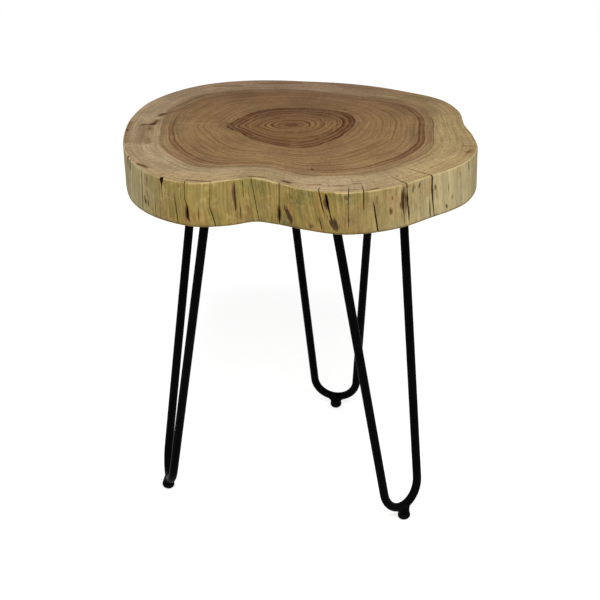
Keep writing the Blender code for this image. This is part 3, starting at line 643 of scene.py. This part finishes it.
class Paint:
    """A node material, put together from short calls."""

    def __init__(self, name):
        self.material = bpy.data.materials.new(name)
        self.material.use_nodes = True
        self.tree = self.material.node_tree
        self.shader = self.tree.nodes["Principled BSDF"]

    def finish(self, inputs):
        feed(self.shader, inputs)
        return self.material

    def node(self, kind, inputs, **settings):
        return add_node(self.tree, kind, inputs, **settings)

    def place(self):
        return self.node("ShaderNodeTexCoord", {}).outputs["Object"]

    def field(self, name, output="Fac"):
        return self.node("ShaderNodeAttribute", {}, attribute_name=name).outputs[output]

    def math(self, operation, *values):
        """One sum, product or other operation over two or more values, from the left."""
        total = values[0]
        for value in values[1:]:
            total = self.node("ShaderNodeMath", {0: total, 1: value}, operation=operation).outputs[0]
        return total

    def sum(self, *values):
        return self.math("ADD", *values)

    def product(self, *values):
        return self.math("MULTIPLY", *values)

    def noise(self, vector, scale, detail=2.0, roughness=0.5):
        inputs = {"Vector": vector, "Scale": scale, "Detail": detail, "Roughness": roughness}
        return self.node("ShaderNodeTexNoise", inputs).outputs["Fac"]

    def streaks(self, vector, across, along, detail=2.0, roughness=0.5):
        """Noise with one scale across and another along Z."""
        inputs = {0: vector, 1: (across, across, along)}
        drawn = self.node("ShaderNodeVectorMath", inputs, operation="MULTIPLY").outputs[0]
        return self.noise(drawn, 1.0, detail, roughness)

    def centred(self, pattern):
        """A pattern that is about 0.5 on average, moved to about 0."""
        return self.math("SUBTRACT", pattern, 0.5)

    def fade(self, value, low, high, start=0.0, end=1.0):
        inputs = {"Value": value, 1: low, 2: high, 3: start, 4: end}
        made = self.node("ShaderNodeMapRange", inputs, interpolation_type="SMOOTHSTEP")
        return made.outputs[0]

    def ramp(self, factor, *stops):
        made = self.node("ShaderNodeValToRGB", {"Fac": factor})
        band = made.color_ramp
        while len(band.elements) < len(stops):
            band.elements.new(0.5)
        for element, (position, colour) in zip(band.elements, stops):
            element.position = position
            element.color = colour
        return made.outputs["Color"]

    def blend(self, factor, a, b, kind="MIX"):
        made = self.node("ShaderNodeMix", {0: factor, 6: a, 7: b}, data_type="RGBA", blend_type=kind)
        return made.outputs[2]

    def split(self, vector):
        return self.node("ShaderNodeSeparateXYZ", {0: vector}).outputs

    def join(self, x, y, z):
        return self.node("ShaderNodeCombineXYZ", {0: x, 1: y, 2: z}).outputs[0]

    def bump(self, height, distance, strength=1.0):
        inputs = {"Height": height, "Distance": distance, "Strength": strength}
        return self.node("ShaderNodeBump", inputs).outputs["Normal"]

    def shade(self, colour, pattern, dark, light):
        """Darken and lighten a colour by a pattern that is about 0.5 on average."""
        return self.blend(1.0, colour, self.fade(pattern, 0.25, 0.75, dark, light), "MULTIPLY")


def growth_rings(paint, place, growth):
    """Growth, made to waver as real rings do, and most of all in the eye."""
    slow = paint.product(paint.centred(paint.noise(place, 16, 3.0)), 0.034)
    reach = paint.fade(growth, 0.28, 0.42, 0.032, 0.009)
    quick = paint.product(paint.centred(paint.noise(place, 70, 3.0)), reach)
    return paint.sum(growth, slow, quick)


def ring_noise(paint, place, scale, level, *texture):
    """Noise that changes slowly on the way round and quickly from one level to the next."""
    x, y, _ = paint.split(place)
    spot = paint.join(paint.product(x, scale), paint.product(y, scale), level)
    return paint.noise(spot, 1.0, *texture)


def year_lines(paint, place, ring, count):
    """Thin dark ends of the years' rings, at uneven steps, that fade in and out on the way round."""
    steps = paint.product(ring, count)
    uneven = paint.noise(paint.join(0.0, 0.0, steps), 0.37, 1.0)
    phase = paint.sum(steps, paint.product(uneven, 1.6))
    year = paint.math("FLOOR", phase, 0.0)
    line = paint.fade(paint.math("FRACT", phase, 0.0), 0.55, 0.95)
    seen = ring_noise(paint, place, 14, paint.product(year, 3.7), 2.0)
    return paint.product(line, paint.fade(seen, 0.34, 0.66, 0.12, 1.0))


def ring_marks(paint, ring, marks):
    """Thin lines along the rings, each given by its share of growth, its width and its strength."""
    stops = []
    for growth, width, strength in marks:
        stops.append((growth - MARK_INNER * width, BLACK))
        stops.append((growth, (strength, strength, strength, 1)))
        stops.append((growth + MARK_OUTER * width, BLACK))
    return paint.ramp(ring, *stops)


def between(paint, value, low, high, soft):
    """1 between two limits and 0 outside them, with soft steps."""
    above = paint.fade(value, low - soft, low + soft)
    below = paint.fade(value, high - soft, high + soft, 1.0, 0.0)
    return paint.product(above, below)


def face_colour(paint, place, growth, grain):
    """End grain of the top and underside: heartwood with its dark rings, and pale sapwood."""
    ring = growth_rings(paint, place, growth)
    wood = paint.ramp(
        ring,
        (0.00, linear(98, 66, 44)),
        (0.05, linear(122, 89, 58)),
        (0.10, linear(140, 106, 69)),
        (0.30, linear(144, 111, 73)),
        (0.37, linear(144, 114, 77)),
        (0.58, linear(147, 117, 79)),
        (0.70, linear(146, 117, 80)),
        (0.735, linear(159, 131, 94)),
        (0.768, linear(152, 124, 87)),
        (0.777, linear(128, 103, 72)),
        (0.787, linear(165, 141, 107)),
        (0.84, linear(177, 154, 120)),
        (1.00, linear(174, 150, 116)),
    )
    clouds = paint.noise(place, 24, 4.0, 0.6)
    bands = ring_noise(paint, place, 20, paint.product(ring, 110), 3.0, 0.65)
    pores = paint.noise(place, 260, 3.0, 0.7)
    rays = paint.streaks(grain, 560, 12, 3.0, 0.6)
    wood = paint.shade(wood, clouds, 0.84, 1.16)
    wood = paint.shade(wood, bands, 0.74, 1.24)
    wood = paint.shade(wood, pores, 0.82, 1.17)
    wood = paint.shade(wood, rays, 0.95, 1.04)
    thin = paint.product(year_lines(paint, place, ring, 85), 0.6)
    years = paint.math("MAXIMUM", year_lines(paint, place, ring, 30), thin)
    faint_in_sap = paint.fade(ring, 0.765, 0.79, 0.46, 0.14)
    strong_in_eye = paint.fade(ring, 0.32, 0.38, 2.2, 1.0)
    years = paint.product(years, faint_in_sap, strong_in_eye)
    wood = paint.blend(years, wood, linear(88, 52, 26))
    patchiness = paint.fade(paint.noise(place, 55, 3.0), 0.34, 0.5, 0.6, 1.0)
    eye_ink = paint.product(paint.field("eye_ink"), patchiness)
    patchy = paint.fade(clouds, 0.4, 0.6, 0.2, 0.6)
    fill = paint.product(between(paint, ring, 0.29, 0.35, 0.01), eye_ink, patchy)
    wood = paint.blend(fill, wood, linear(92, 50, 26))
    eye = paint.product(ring_marks(paint, ring, EYE_MARKS), eye_ink)
    wood = paint.blend(eye, wood, linear(48, 14, 2))
    edge_ink = paint.product(paint.field("edge_ink"), patchiness)
    red = paint.product(between(paint, ring, 0.702, 0.732, 0.006), edge_ink, 0.55)
    wood = paint.blend(red, wood, linear(110, 66, 38))
    edge = paint.product(ring_marks(paint, ring, EDGE_MARKS), edge_ink)
    wood = paint.blend(edge, wood, linear(66, 28, 8))
    return wood, pores, years


def sap_tint(paint, place, growth, grain, colour):
    """Sapwood yellow on the right, tan at the front left and flecked, and all darker at the back,
    partly its own duller colour and partly painted shade.
    """
    x, y, _ = paint.split(place)
    sap = paint.fade(growth, 0.78, 0.80)
    yellow = paint.product(sap, paint.fade(x, 0.02, 0.17))
    colour = paint.blend(yellow, colour, linear(246, 244, 222), "MULTIPLY")
    front = paint.fade(y, -0.15, -0.10, 1.0, 0.0)
    left = paint.fade(x, -0.03, 0.03, 1.0, 0.0)
    colour = paint.blend(paint.product(sap, front, left), colour, linear(245, 243, 234), "MULTIPLY")
    flecks = paint.streaks(grain, 430, 60, 2.0, 0.6)
    flecks = paint.product(paint.fade(flecks, 0.60, 0.72, 0.0, 0.55), sap)
    colour = paint.blend(flecks, colour, linear(112, 82, 56))
    # darker towards the back: partly the wood's own duller colour, partly painted shade where the
    # light falls off
    duller_and_shaded_back = paint.product(paint.fade(y, 0.0, 0.17), paint.fade(x, -0.16, -0.05, 0.45, 1.0))
    return paint.blend(duller_and_shaded_back, colour, linear(220, 210, 216), "MULTIPLY")


def wall_colour(paint, grain):
    """Bare cambium: yellow, tan and grey in soft streaks along the fibres, with brown flecks."""
    patch = paint.streaks(grain, 30, 24, 4.0, 0.6)
    band = paint.streaks(grain, 130, 10, 4.0, 0.65)
    mottle = paint.streaks(grain, 260, 60, 4.0, 0.7)
    fibre = paint.streaks(grain, 560, 16, 4.0, 0.65)
    colour = paint.ramp(
        patch,
        (0.32, linear(120, 109, 61)),
        (0.45, linear(142, 126, 68)),
        (0.56, linear(157, 134, 76)),
        (0.68, linear(140, 113, 66)),
    )
    colour = paint.shade(colour, fibre, 0.86, 1.10)
    colour = paint.blend(paint.field("pale"), colour, linear(200, 183, 138))
    colour = paint.shade(colour, band, 0.85, 1.12)
    colour = paint.shade(colour, mottle, 0.82, 1.15)
    colour = paint.shade(colour, fibre, 0.84, 1.10)
    warm = paint.streaks(grain, 70, 30, 3.0)
    colour = paint.blend(paint.fade(warm, 0.56, 0.70, 0.0, 0.35), colour, linear(156, 106, 62))
    grey = paint.streaks(grain, 95, 28, 3.0)
    colour = paint.blend(paint.fade(grey, 0.54, 0.70, 0.0, 0.22), colour, linear(118, 108, 82))
    gap = paint.math("ABSOLUTE", paint.centred(paint.streaks(grain, 190, 9)), 0.0)
    broken = paint.fade(paint.streaks(grain, 120, 50), 0.50, 0.64, 0.0, 0.7)
    lines = paint.product(paint.fade(gap, 0.002, 0.016, 1.0, 0.0), broken)
    colour = paint.blend(lines, colour, linear(84, 62, 36))
    spots = paint.streaks(grain, 330, 110, 2.0, 0.6)
    where = paint.streaks(grain, 40, 40, 1.0)
    spots = paint.product(paint.fade(spots, 0.62, 0.74, 0.0, 0.7), paint.fade(where, 0.5, 0.66))
    return paint.blend(spots, colour, linear(104, 68, 40)), fibre


def stains_and_painted_shade(paint, place, grain, wall, colour):
    """Stains, streaked along the fibres of the wall and blotched on the top, painted shade along the
    wall's lower arris, and pale marks.
    """
    stain = paint.field("stain")
    tint = paint.fade(stain, 0.04, 0.30, 0.0, 0.55)
    on_top = paint.fade(wall, 0.0, 1.0, 1.0, 0.0)
    colour = paint.blend(paint.product(tint, on_top), colour, linear(112, 84, 58))
    streak = paint.product(paint.centred(paint.streaks(grain, 430, 40, 4.0, 0.7)), wall, 2.4)
    blotch = paint.centred(paint.noise(place, 110, 4.0, 0.65))
    blotch = paint.product(blotch, paint.fade(wall, 0.0, 1.0, 0.9, 0.0))
    dark = paint.product(paint.fade(stain, 0.05, 0.35), paint.sum(streak, blotch, stain))
    dark = paint.fade(dark, 0.2, 0.62, 0.0, 0.92)
    brown = paint.ramp(
        paint.product(dark, stain),
        (0.12, linear(140, 106, 64)),
        (0.40, linear(98, 72, 46)),
        (0.70, linear(56, 42, 30)),
    )
    colour = paint.blend(dark, colour, brown)
    # painted shade: the wall darkens to brown along its lower arris
    low = paint.fade(paint.split(grain)[2], 0.0435, 0.0465, 0.0, 0.6)
    colour = paint.blend(paint.product(low, wall), colour, linear(74, 60, 34))
    light = paint.fade(paint.product(stain, -1.0), 0.05, 0.6, 0.0, 0.6)
    return paint.blend(light, colour, linear(186, 160, 122))


def paint_slab():
    paint = Paint("live_edge_wood")
    place = paint.place()
    growth = paint.field("growth")
    grain = paint.field("grain", "Vector")
    wall = paint.field("wall")
    face, pores, years = face_colour(paint, place, growth, grain)
    face = sap_tint(paint, place, growth, grain, face)
    side, fibre = wall_colour(paint, grain)
    ragged = paint.product(paint.centred(paint.noise(place, 160, 3.0)), 0.45)
    edge = paint.sum(wall, ragged)
    colour = paint.blend(paint.fade(edge, 0.25, 0.75), face, side)
    # painted highlight: a pale line along the top arris, broken into patches by noise
    patchiness = paint.fade(paint.noise(place, 50, 2.0), 0.35, 0.65, 0.08, 0.85)
    painted_arris_highlight = paint.product(between(paint, edge, 0.3, 0.9, 0.12), patchiness)
    colour = paint.blend(painted_arris_highlight, colour, linear(204, 182, 130))
    colour = stains_and_painted_shade(paint, place, grain, wall, colour)
    crack = paint.field("crack")
    # painted shade inside the cracks: brown, then near black the deeper a crack is
    colour = paint.blend(paint.fade(crack, 0.0, 0.1, 0.0, 0.5), colour, linear(92, 66, 38))
    colour = paint.blend(paint.fade(crack, 0.04, 0.28), colour, linear(34, 23, 14))
    rough = paint.fade(paint.noise(place, 60, 3.0), 0.3, 0.7, 0.46, 0.6)
    ridges = paint.product(fibre, wall, 0.0009)
    pits = paint.product(pores, paint.fade(wall, 0.0, 1.0, 0.0002, 0.00004))
    furrows = paint.product(years, 0.0001)
    height = paint.math("SUBTRACT", paint.sum(ridges, pits), furrows)
    return paint.finish({
        "Base Color": colour,
        "Roughness": paint.sum(rough, paint.product(wall, 0.16)),
        "Specular IOR Level": 0.01,
        "Normal": paint.bump(height, 1.0, 0.8),
    })


def paint_steel():
    """Black powder coat with a fine orange-peel skin."""
    paint = Paint("black_powder_coat")
    place = paint.place()
    cloud = paint.noise(place, 40, 3.0)
    peel = paint.noise(place, 900, 2.0)
    dark = (0.0012, 0.0012, 0.0015, 1)
    light = (0.0026, 0.0026, 0.0031, 1)
    return paint.finish({
        "Base Color": paint.ramp(cloud, (0.3, dark), (0.7, light)),
        "Roughness": paint.fade(peel, 0.3, 0.7, 0.36, 0.5),
        "Specular IOR Level": 0.012,
        "Normal": paint.bump(peel, 0.00002),
    })


def paint_rubber():
    """Dull black moulding with a fine grain and scuffs."""
    paint = Paint("glide_moulding")
    place = paint.place()
    scuff = paint.streaks(place, 90, 500, 3.0)
    grain = paint.noise(place, 1400, 2.0)
    dark = (0.0014, 0.0014, 0.0016, 1)
    light = (0.0048, 0.0048, 0.0048, 1)
    return paint.finish({
        "Base Color": paint.ramp(scuff, (0.4, dark), (0.75, light)),
        "Roughness": paint.fade(grain, 0.3, 0.7, 0.6, 0.78),
        "Specular IOR Level": 0.03,
        "Normal": paint.bump(grain, 0.00005),
    })


def paint_zinc():
    """Zinc plate with a faint warm bloom and turning marks."""
    paint = Paint("zinc_plate")
    place = paint.place()
    bloom = paint.noise(place, 700, 3.0)
    marks = paint.streaks(place, 300, 5200, 2.0)
    return paint.finish({
        "Base Color": paint.ramp(bloom, (0.3, (0.46, 0.45, 0.42, 1)), (0.7, (0.62, 0.60, 0.54, 1))),
        "Metallic": 1.0,
        "Roughness": paint.fade(marks, 0.3, 0.7, 0.26, 0.44),
        "Normal": paint.bump(marks, 0.00003),
    })


def add_piece(name, bm, place, material, node):
    """Put a piece in place, its faces outwards, and let it stand for its node."""
    bm.transform(place)
    bmesh.ops.recalc_face_normals(bm, faces=bm.faces)
    if bm.calc_volume(signed=True) < 0:
        bmesh.ops.reverse_faces(bm, faces=bm.faces)
    mesh = bpy.data.meshes.new(name)
    bm.to_mesh(mesh)
    bm.free()
    add_mesh(mesh, material, PIECE_SHARP, node)


def skin(bm, rings, caps=(True, True)):
    """Skin rings of equal count, close the ends that are asked for, and give back the loops."""
    loops = [[bm.verts.new(point) for point in ring] for ring in rings]
    for near, far in zip(loops, loops[1:]):
        for i, corner in enumerate(near):
            j = (i + 1) % len(near)
            bm.faces.new((corner, near[j], far[j], far[i]))
    for loop, cap in zip((loops[0], loops[-1]), caps):
        if cap:
            bm.faces.new(loop)
    return loops


def full_turn(sides):
    return [math.tau * i / sides for i in range(sides)]


def circle(centre, radius, sides):
    spokes = [Vector((math.cos(a), math.sin(a), 0)) for a in full_turn(sides)]
    return [Vector(centre) + radius * spoke for spoke in spokes]


def turned(profile, sides):
    """Skin of revolution of (radius, height) pairs about Z, with flat ends."""
    bm = bmesh.new()
    skin(bm, [circle((0, 0, height), radius, sides) for radius, height in profile])
    return bm


def trim(bm, point, normal):
    """Cut off what lies beyond a plane and close the cut."""
    everything = bm.verts[:] + bm.edges[:] + bm.faces[:]
    bmesh.ops.bisect_plane(bm, geom=everything, plane_co=point, plane_no=normal, clear_outer=True)
    open_edges = [edge for edge in bm.edges if edge.is_boundary]
    bmesh.ops.holes_fill(bm, edges=open_edges, sides=0)


def upright(leg):
    """Frame at the leg's mounting point on the underside, with +X the way the leg faces."""
    reach = SLAB_RADIUS - leg.inset
    turn = math.radians(leg.bearing)
    place = Matrix.Translation((reach * math.cos(turn), reach * math.sin(turn), LEG_HEIGHT))
    return place @ Matrix.Rotation(math.radians(leg.facing), 4, "Z")


def lean(leg):
    return Matrix.Rotation(-math.radians(leg.splay), 4, "Y")


def level_normal(leg):
    """Straight up, as seen from the leaning leg."""
    return lean(leg).to_3x3().inverted() @ Vector((0, 0, 1))


def floor_drop(leg):
    """Length of the leg's axis from the underside of the slab to the floor."""
    return LEG_HEIGHT / math.cos(math.radians(leg.splay))


def rod_bottom(leg):
    """Height of the rod's lowest line, along the leg's axis from the underside of the slab."""
    return FOOT_LENGTH - floor_drop(leg)


def hairpin_path(leg):
    """Axis of the rod in the leg's plane: down one strand, round the bend and up the other."""
    height = rod_bottom(leg) + ROD_DIAMETER / 2 + BEND_RADIUS
    half = STRAND_SPACING / 2
    start = math.atan2(half, -height) + math.acos(BEND_RADIUS / math.hypot(half, height))
    sweep = math.tau - 2 * start
    turns = [start + sweep * i / BEND_STEPS for i in range(BEND_STEPS + 1)]
    centre = Vector((0, 0, height))
    bend = [centre + BEND_RADIUS * Vector((0, math.sin(a), math.cos(a))) for a in turns]
    top = Vector((0, half, 0))
    return [top] + bend + [-top]


def make_rod(leg, material):
    """Round rod along the hairpin, with both ends cut level inside the plate."""
    path = hairpin_path(leg)
    radius = ROD_DIAMETER / 2 + ROD_COAT
    across = Vector((1, 0, 0))
    turns = full_turn(ROD_SIDES)
    rings = []
    for before, point, after in zip(path[:1] + path, path, path[1:] + path[-1:]):
        along = (after - before).normalized()
        other = along.cross(across)
        rings.append([point + radius * (math.cos(a) * across + math.sin(a) * other) for a in turns])
    bm = bmesh.new()
    skin(bm, rings)
    level = level_normal(leg)
    trim(bm, level * (ROD_SEAT - PLATE_THICKNESS - 2 * CLEARANCE), level)
    place = upright(leg) @ lean(leg)
    add_piece(leg.name + "_bent_rod", bm, place, material, leg.name + "_rod")


def strand_centre(leg, side, height):
    """Where a strand's axis crosses a level below the slab, in the leg's upright frame."""
    path = hairpin_path(leg)
    top = lean(leg) @ path[0]
    bottom = lean(leg) @ path[1]
    point = top.lerp(bottom, (height - top.z) / (bottom.z - top.z))
    return Vector((point.x, side * point.y, height))


def plate_outline(inset, height):
    """Rounded rectangle, anticlockwise."""
    x = PLATE_WIDTH / 2 - PLATE_CORNER
    y = STRAND_SPACING / 2 + PLATE_OVERHANG - PLATE_CORNER
    radius = PLATE_CORNER - inset
    points = []
    for i, (side_x, side_y) in enumerate(((1, 1), (-1, 1), (-1, -1), (1, -1))):
        for a in quarter(CORNER_STEPS):
            turn = a + math.pi / 2 * i
            corner = (side_x * x + radius * math.cos(turn), side_y * y + radius * math.sin(turn))
            points.append(Vector((*corner, height)))
    return points


def weld_rings(leg, side, face):
    """A fillet of weld that swells from the strand to the plate, with the ripples of its runs."""
    widen, rise = WELD_CURVE
    rings = []
    for i in range(WELD_STEPS + 1):
        share = i / WELD_STEPS
        height = face - WELD_HEIGHT * (1 - share) ** rise + CLEARANCE * share
        radius = ROD_DIAMETER / 2 + WELD_WIDTH * share**widen
        centre = strand_centre(leg, side, height)
        ring = []
        for point in circle(centre, radius, WELD_SIDES):
            turn = math.atan2(point.y - centre.y, point.x - centre.x)
            swell = WELD_RIPPLE * math.sin(math.pi * share) * math.sin(WELD_RIPPLES * turn)
            ring.append(point + (point - centre).normalized() * swell)
        rings.append(ring)
    return rings


def make_plate(leg, material):
    """Steel plate with eased edges and a weld bead round each strand."""
    face = -CLEARANCE - PLATE_THICKNESS
    layers = (
        (PLATE_BEVEL, face),
        (0.0, face + PLATE_BEVEL),
        (0.0, -CLEARANCE - PLATE_BEVEL),
        (PLATE_BEVEL, -CLEARANCE),
    )
    bm = bmesh.new()
    skin(bm, [plate_outline(inset, height) for inset, height in layers])
    for side in (-1, 1):
        skin(bm, weld_rings(leg, side, face))
    name = leg.name + "_mounting_plate"
    add_piece(name, bm, upright(leg), material, leg.name + "_plate")


def recess_outline(scale, height):
    """Cross, anticlockwise."""
    long = scale * RECESS_LENGTH / 2
    short = scale * RECESS_WIDTH / 2
    arm = ((long, -short), (long, short), (short, short))
    points = []
    for turn in range(4):
        spin = Matrix.Rotation(math.pi / 2 * turn, 3, "Z")
        points += [spin @ Vector((x, y, height)) for x, y in arm]
    return points


def add_screw_head(bm):
    """Pan head below height 0, with a cross recess in its face."""
    flat = HEAD_DIAMETER / 2 - HEAD_ROUND
    rings = [circle((0, 0, 0), HEAD_DIAMETER / 2, SCREW_SIDES)]
    for a in quarter(HEAD_STEPS):
        radius = flat + HEAD_ROUND * math.cos(a)
        height = -HEAD_HEIGHT + HEAD_ROUND * (1 - math.sin(a))
        rings.append(circle((0, 0, height), radius, SCREW_SIDES))
    rim = skin(bm, rings, (True, False))[-1]
    recess = [
        recess_outline(1.0, -HEAD_HEIGHT),
        recess_outline(RECESS_TAPER, RECESS_DEPTH - HEAD_HEIGHT),
    ]
    mouth = skin(bm, recess, (False, True))[0]
    border = []
    for loop in (rim, mouth):
        border += [bm.edges.get(pair) for pair in zip(loop, loop[1:] + loop[:1])]
    bmesh.ops.triangle_fill(bm, edges=border, use_beauty=True)


def add_screw_thread(bm):
    """Shank above the head, with a helical thread that runs out at the point."""
    rings = []
    for row in range(THREAD_ROWS):
        height = SCREW_LENGTH * row / THREAD_ROWS - CLEARANCE
        taper = min(1.0, THREAD_TIP + (SCREW_LENGTH - height) / SCREW_POINT)
        ring = []
        for i in range(SCREW_SIDES):
            share = i / SCREW_SIDES
            phase = (height / THREAD_PITCH - share) % 1
            ridge = max(0.0, 1 - abs(phase - 0.5) / THREAD_RIDGE)
            radius = (THREAD_CORE + (THREAD_DIAMETER - THREAD_CORE) * ridge) / 2 * taper
            turn = math.tau * share
            ring.append(Vector((radius * math.cos(turn), radius * math.sin(turn), height)))
        rings.append(ring)
    skin(bm, rings)


def make_screws(leg, material):
    x = PLATE_WIDTH / 2 - SCREW_EDGE
    y = STRAND_SPACING / 2 - SCREW_INSET
    height = -2 * CLEARANCE - PLATE_THICKNESS
    for number, (i, j) in enumerate(((1, 1), (-1, 1), (-1, -1), (1, -1)), start=1):
        bm = bmesh.new()
        add_screw_head(bm)
        add_screw_thread(bm)
        spin = Matrix.Rotation(math.radians(SCREW_TURN * number), 4, "Z")
        place = upright(leg) @ Matrix.Translation((x * i, y * j, height)) @ spin
        name = f"{leg.name}_wood_screw_{number}"
        add_piece(name, bm, place, material, f"{leg.name}_screw_{number}")


def bend_underside(leg, x, y):
    """Height of the bend's underside at a place across (x) and along (y) the rod."""
    centre = rod_bottom(leg) + ROD_DIAMETER / 2 + BEND_RADIUS
    reach = BEND_RADIUS + math.sqrt((ROD_DIAMETER / 2) ** 2 - x * x)
    return centre - math.sqrt(reach * reach - y * y)


def fillet_rings(leg, end):
    """Rings from the underside of the bend down to a round end, drawn in along the rod."""
    wide = COLLAR_DIAMETER / 2
    widen, draw_in = FILLET_CURVE
    rings = []
    for step in range(FILLET_STEPS + 1):
        share = step / FILLET_STEPS
        across = FILLET_SIDE + (wide - FILLET_SIDE) * share**widen
        along = wide + (FILLET_REACH - wide) * (1 - share) ** draw_in
        ring = []
        for turn in full_turn(FOOT_SIDES):
            x = math.cos(turn)
            y = math.sin(turn)
            start = bend_underside(leg, FILLET_SIDE * x, FILLET_REACH * y) + FILLET_SINK
            ring.append(Vector((across * x, along * y, start + (end - start) * share)))
        rings.append(ring)
    return rings


def make_foot(leg, steel, rubber):
    """Collar welded to the underside of the bend, and the domed glide pushed over its stem."""
    place = upright(leg) @ lean(leg)
    shoulder = rod_bottom(leg) - COLLAR_LENGTH
    wide = COLLAR_DIAMETER / 2
    stem = STEM_DIAMETER / 2
    rings = fillet_rings(leg, shoulder + COLLAR_BEVEL)
    for radius, height in (
        (wide - COLLAR_BEVEL, shoulder),
        (stem, shoulder),
        (stem, shoulder - STEM_LENGTH),
    ):
        rings.append(circle((0, 0, height), radius, FOOT_SIDES))
    bm = bmesh.new()
    rim = skin(bm, rings, (False, True))[0]
    middle = bm.verts.new((0, 0, bend_underside(leg, 0, 0) + 2 * FILLET_SINK))
    for near, far in zip(rim, rim[1:] + rim[:1]):
        bm.faces.new((near, far, middle))
    add_piece(leg.name + "_foot_collar", bm, place, steel, leg.name + "_foot_stud")
    mouth = shoulder - CLEARANCE
    bore = stem + CLEARANCE
    radius = GLIDE_DIAMETER / 2
    tip = -floor_drop(leg) - GLIDE_FLAT
    glide = [(bore, mouth - STEM_LENGTH), (bore, mouth), (radius - GLIDE_LIP, mouth)]
    for a in quarter(GLIDE_STEPS)[:-1]:
        glide.append((radius * math.cos(a), tip + GLIDE_DOME * (1 - math.sin(a))))
    bm = turned(glide, FOOT_SIDES)
    level = level_normal(leg)
    trim(bm, level * -LEG_HEIGHT, -level)
    add_piece(leg.name + "_domed_glide", bm, place, rubber, leg.name + "_glide")


def make_legs():
    steel = paint_steel()
    rubber = paint_rubber()
    zinc = paint_zinc()
    for leg in LEGS:
        make_rod(leg, steel)
        make_plate(leg, steel)
        make_screws(leg, zinc)
        make_foot(leg, steel, rubber)


def see_white(tree, surface, glow):
    """Add glow to a surface only where it is seen, directly, in a reflection or through glass."""
    path = add_node(tree, "ShaderNodeLightPath", {}).outputs
    seen = path["Is Camera Ray"]
    for name in ("Is Glossy Ray", "Is Transmission Ray"):
        either = add_node(tree, "ShaderNodeMath", {0: seen, 1: path[name]}, operation="MAXIMUM")
        seen = either.outputs[0]
    return add_node(tree, "ShaderNodeMixShader", {0: seen, 1: surface, 2: glow}).outputs[0]


def make_stage():
    mesh = bpy.data.meshes.new("floor")
    bm = bmesh.new()
    bmesh.ops.create_grid(bm, x_segments=1, y_segments=1, size=FLOOR_SIZE)
    bm.to_mesh(mesh)
    bm.free()
    floor = add_object("floor", mesh)
    paint = Paint("pale_floor")
    mesh.materials.append(paint.material)
    paint.finish({"Base Color": (*FLOOR_COLOUR, 1), "Roughness": 1.0, "Specular IOR Level": 0.0})
    plain = paint.shader.outputs[0]
    glow = paint.node("ShaderNodeEmission", {"Strength": FLOOR_GLOW}).outputs[0]
    both = paint.node("ShaderNodeAddShader", {0: plain, 1: glow}).outputs[0]
    feed(paint.tree.nodes["Material Output"], {"Surface": see_white(paint.tree, plain, both)})


def make_light():
    world = bpy.data.worlds.new("studio")
    bpy.context.scene.world = world
    world.use_nodes = True
    tree = world.node_tree
    ambient = tree.nodes["Background"]
    feed(ambient, {"Color": WHITE, "Strength": AMBIENT})
    white = add_node(tree, "ShaderNodeBackground", {"Color": WHITE}).outputs[0]
    feed(tree.nodes["World Output"], {"Surface": see_white(tree, ambient.outputs[0], white)})
    lamp = bpy.data.lights.new("key", "AREA")
    lamp.size = KEY_SIZE
    lamp.energy = KEY_POWER
    key = add_object("key", lamp)
    key.location = KEY_PLACE
    aim = Vector((0, 0, LEG_HEIGHT)) - key.location
    key.rotation_euler = aim.to_track_quat("-Z", "Y").to_euler()


def make_camera():
    lens = bpy.data.cameras.new("camera")
    lens.lens = CAMERA_LENS
    lens.sensor_width = CAMERA_SENSOR
    camera = add_object("camera", lens)
    tilt = Matrix.Rotation(math.radians(90 - CAMERA_PITCH), 4, "X")
    roll = Matrix.Rotation(math.radians(CAMERA_ROLL), 4, "Z")
    camera.matrix_world = Matrix.Translation(CAMERA_PLACE) @ tilt @ roll
    bpy.context.scene.camera = camera
    bpy.context.scene.view_settings.view_transform = "Standard"


make_camera()
make_light()
make_stage()
make_slab(paint_slab())
make_legs()
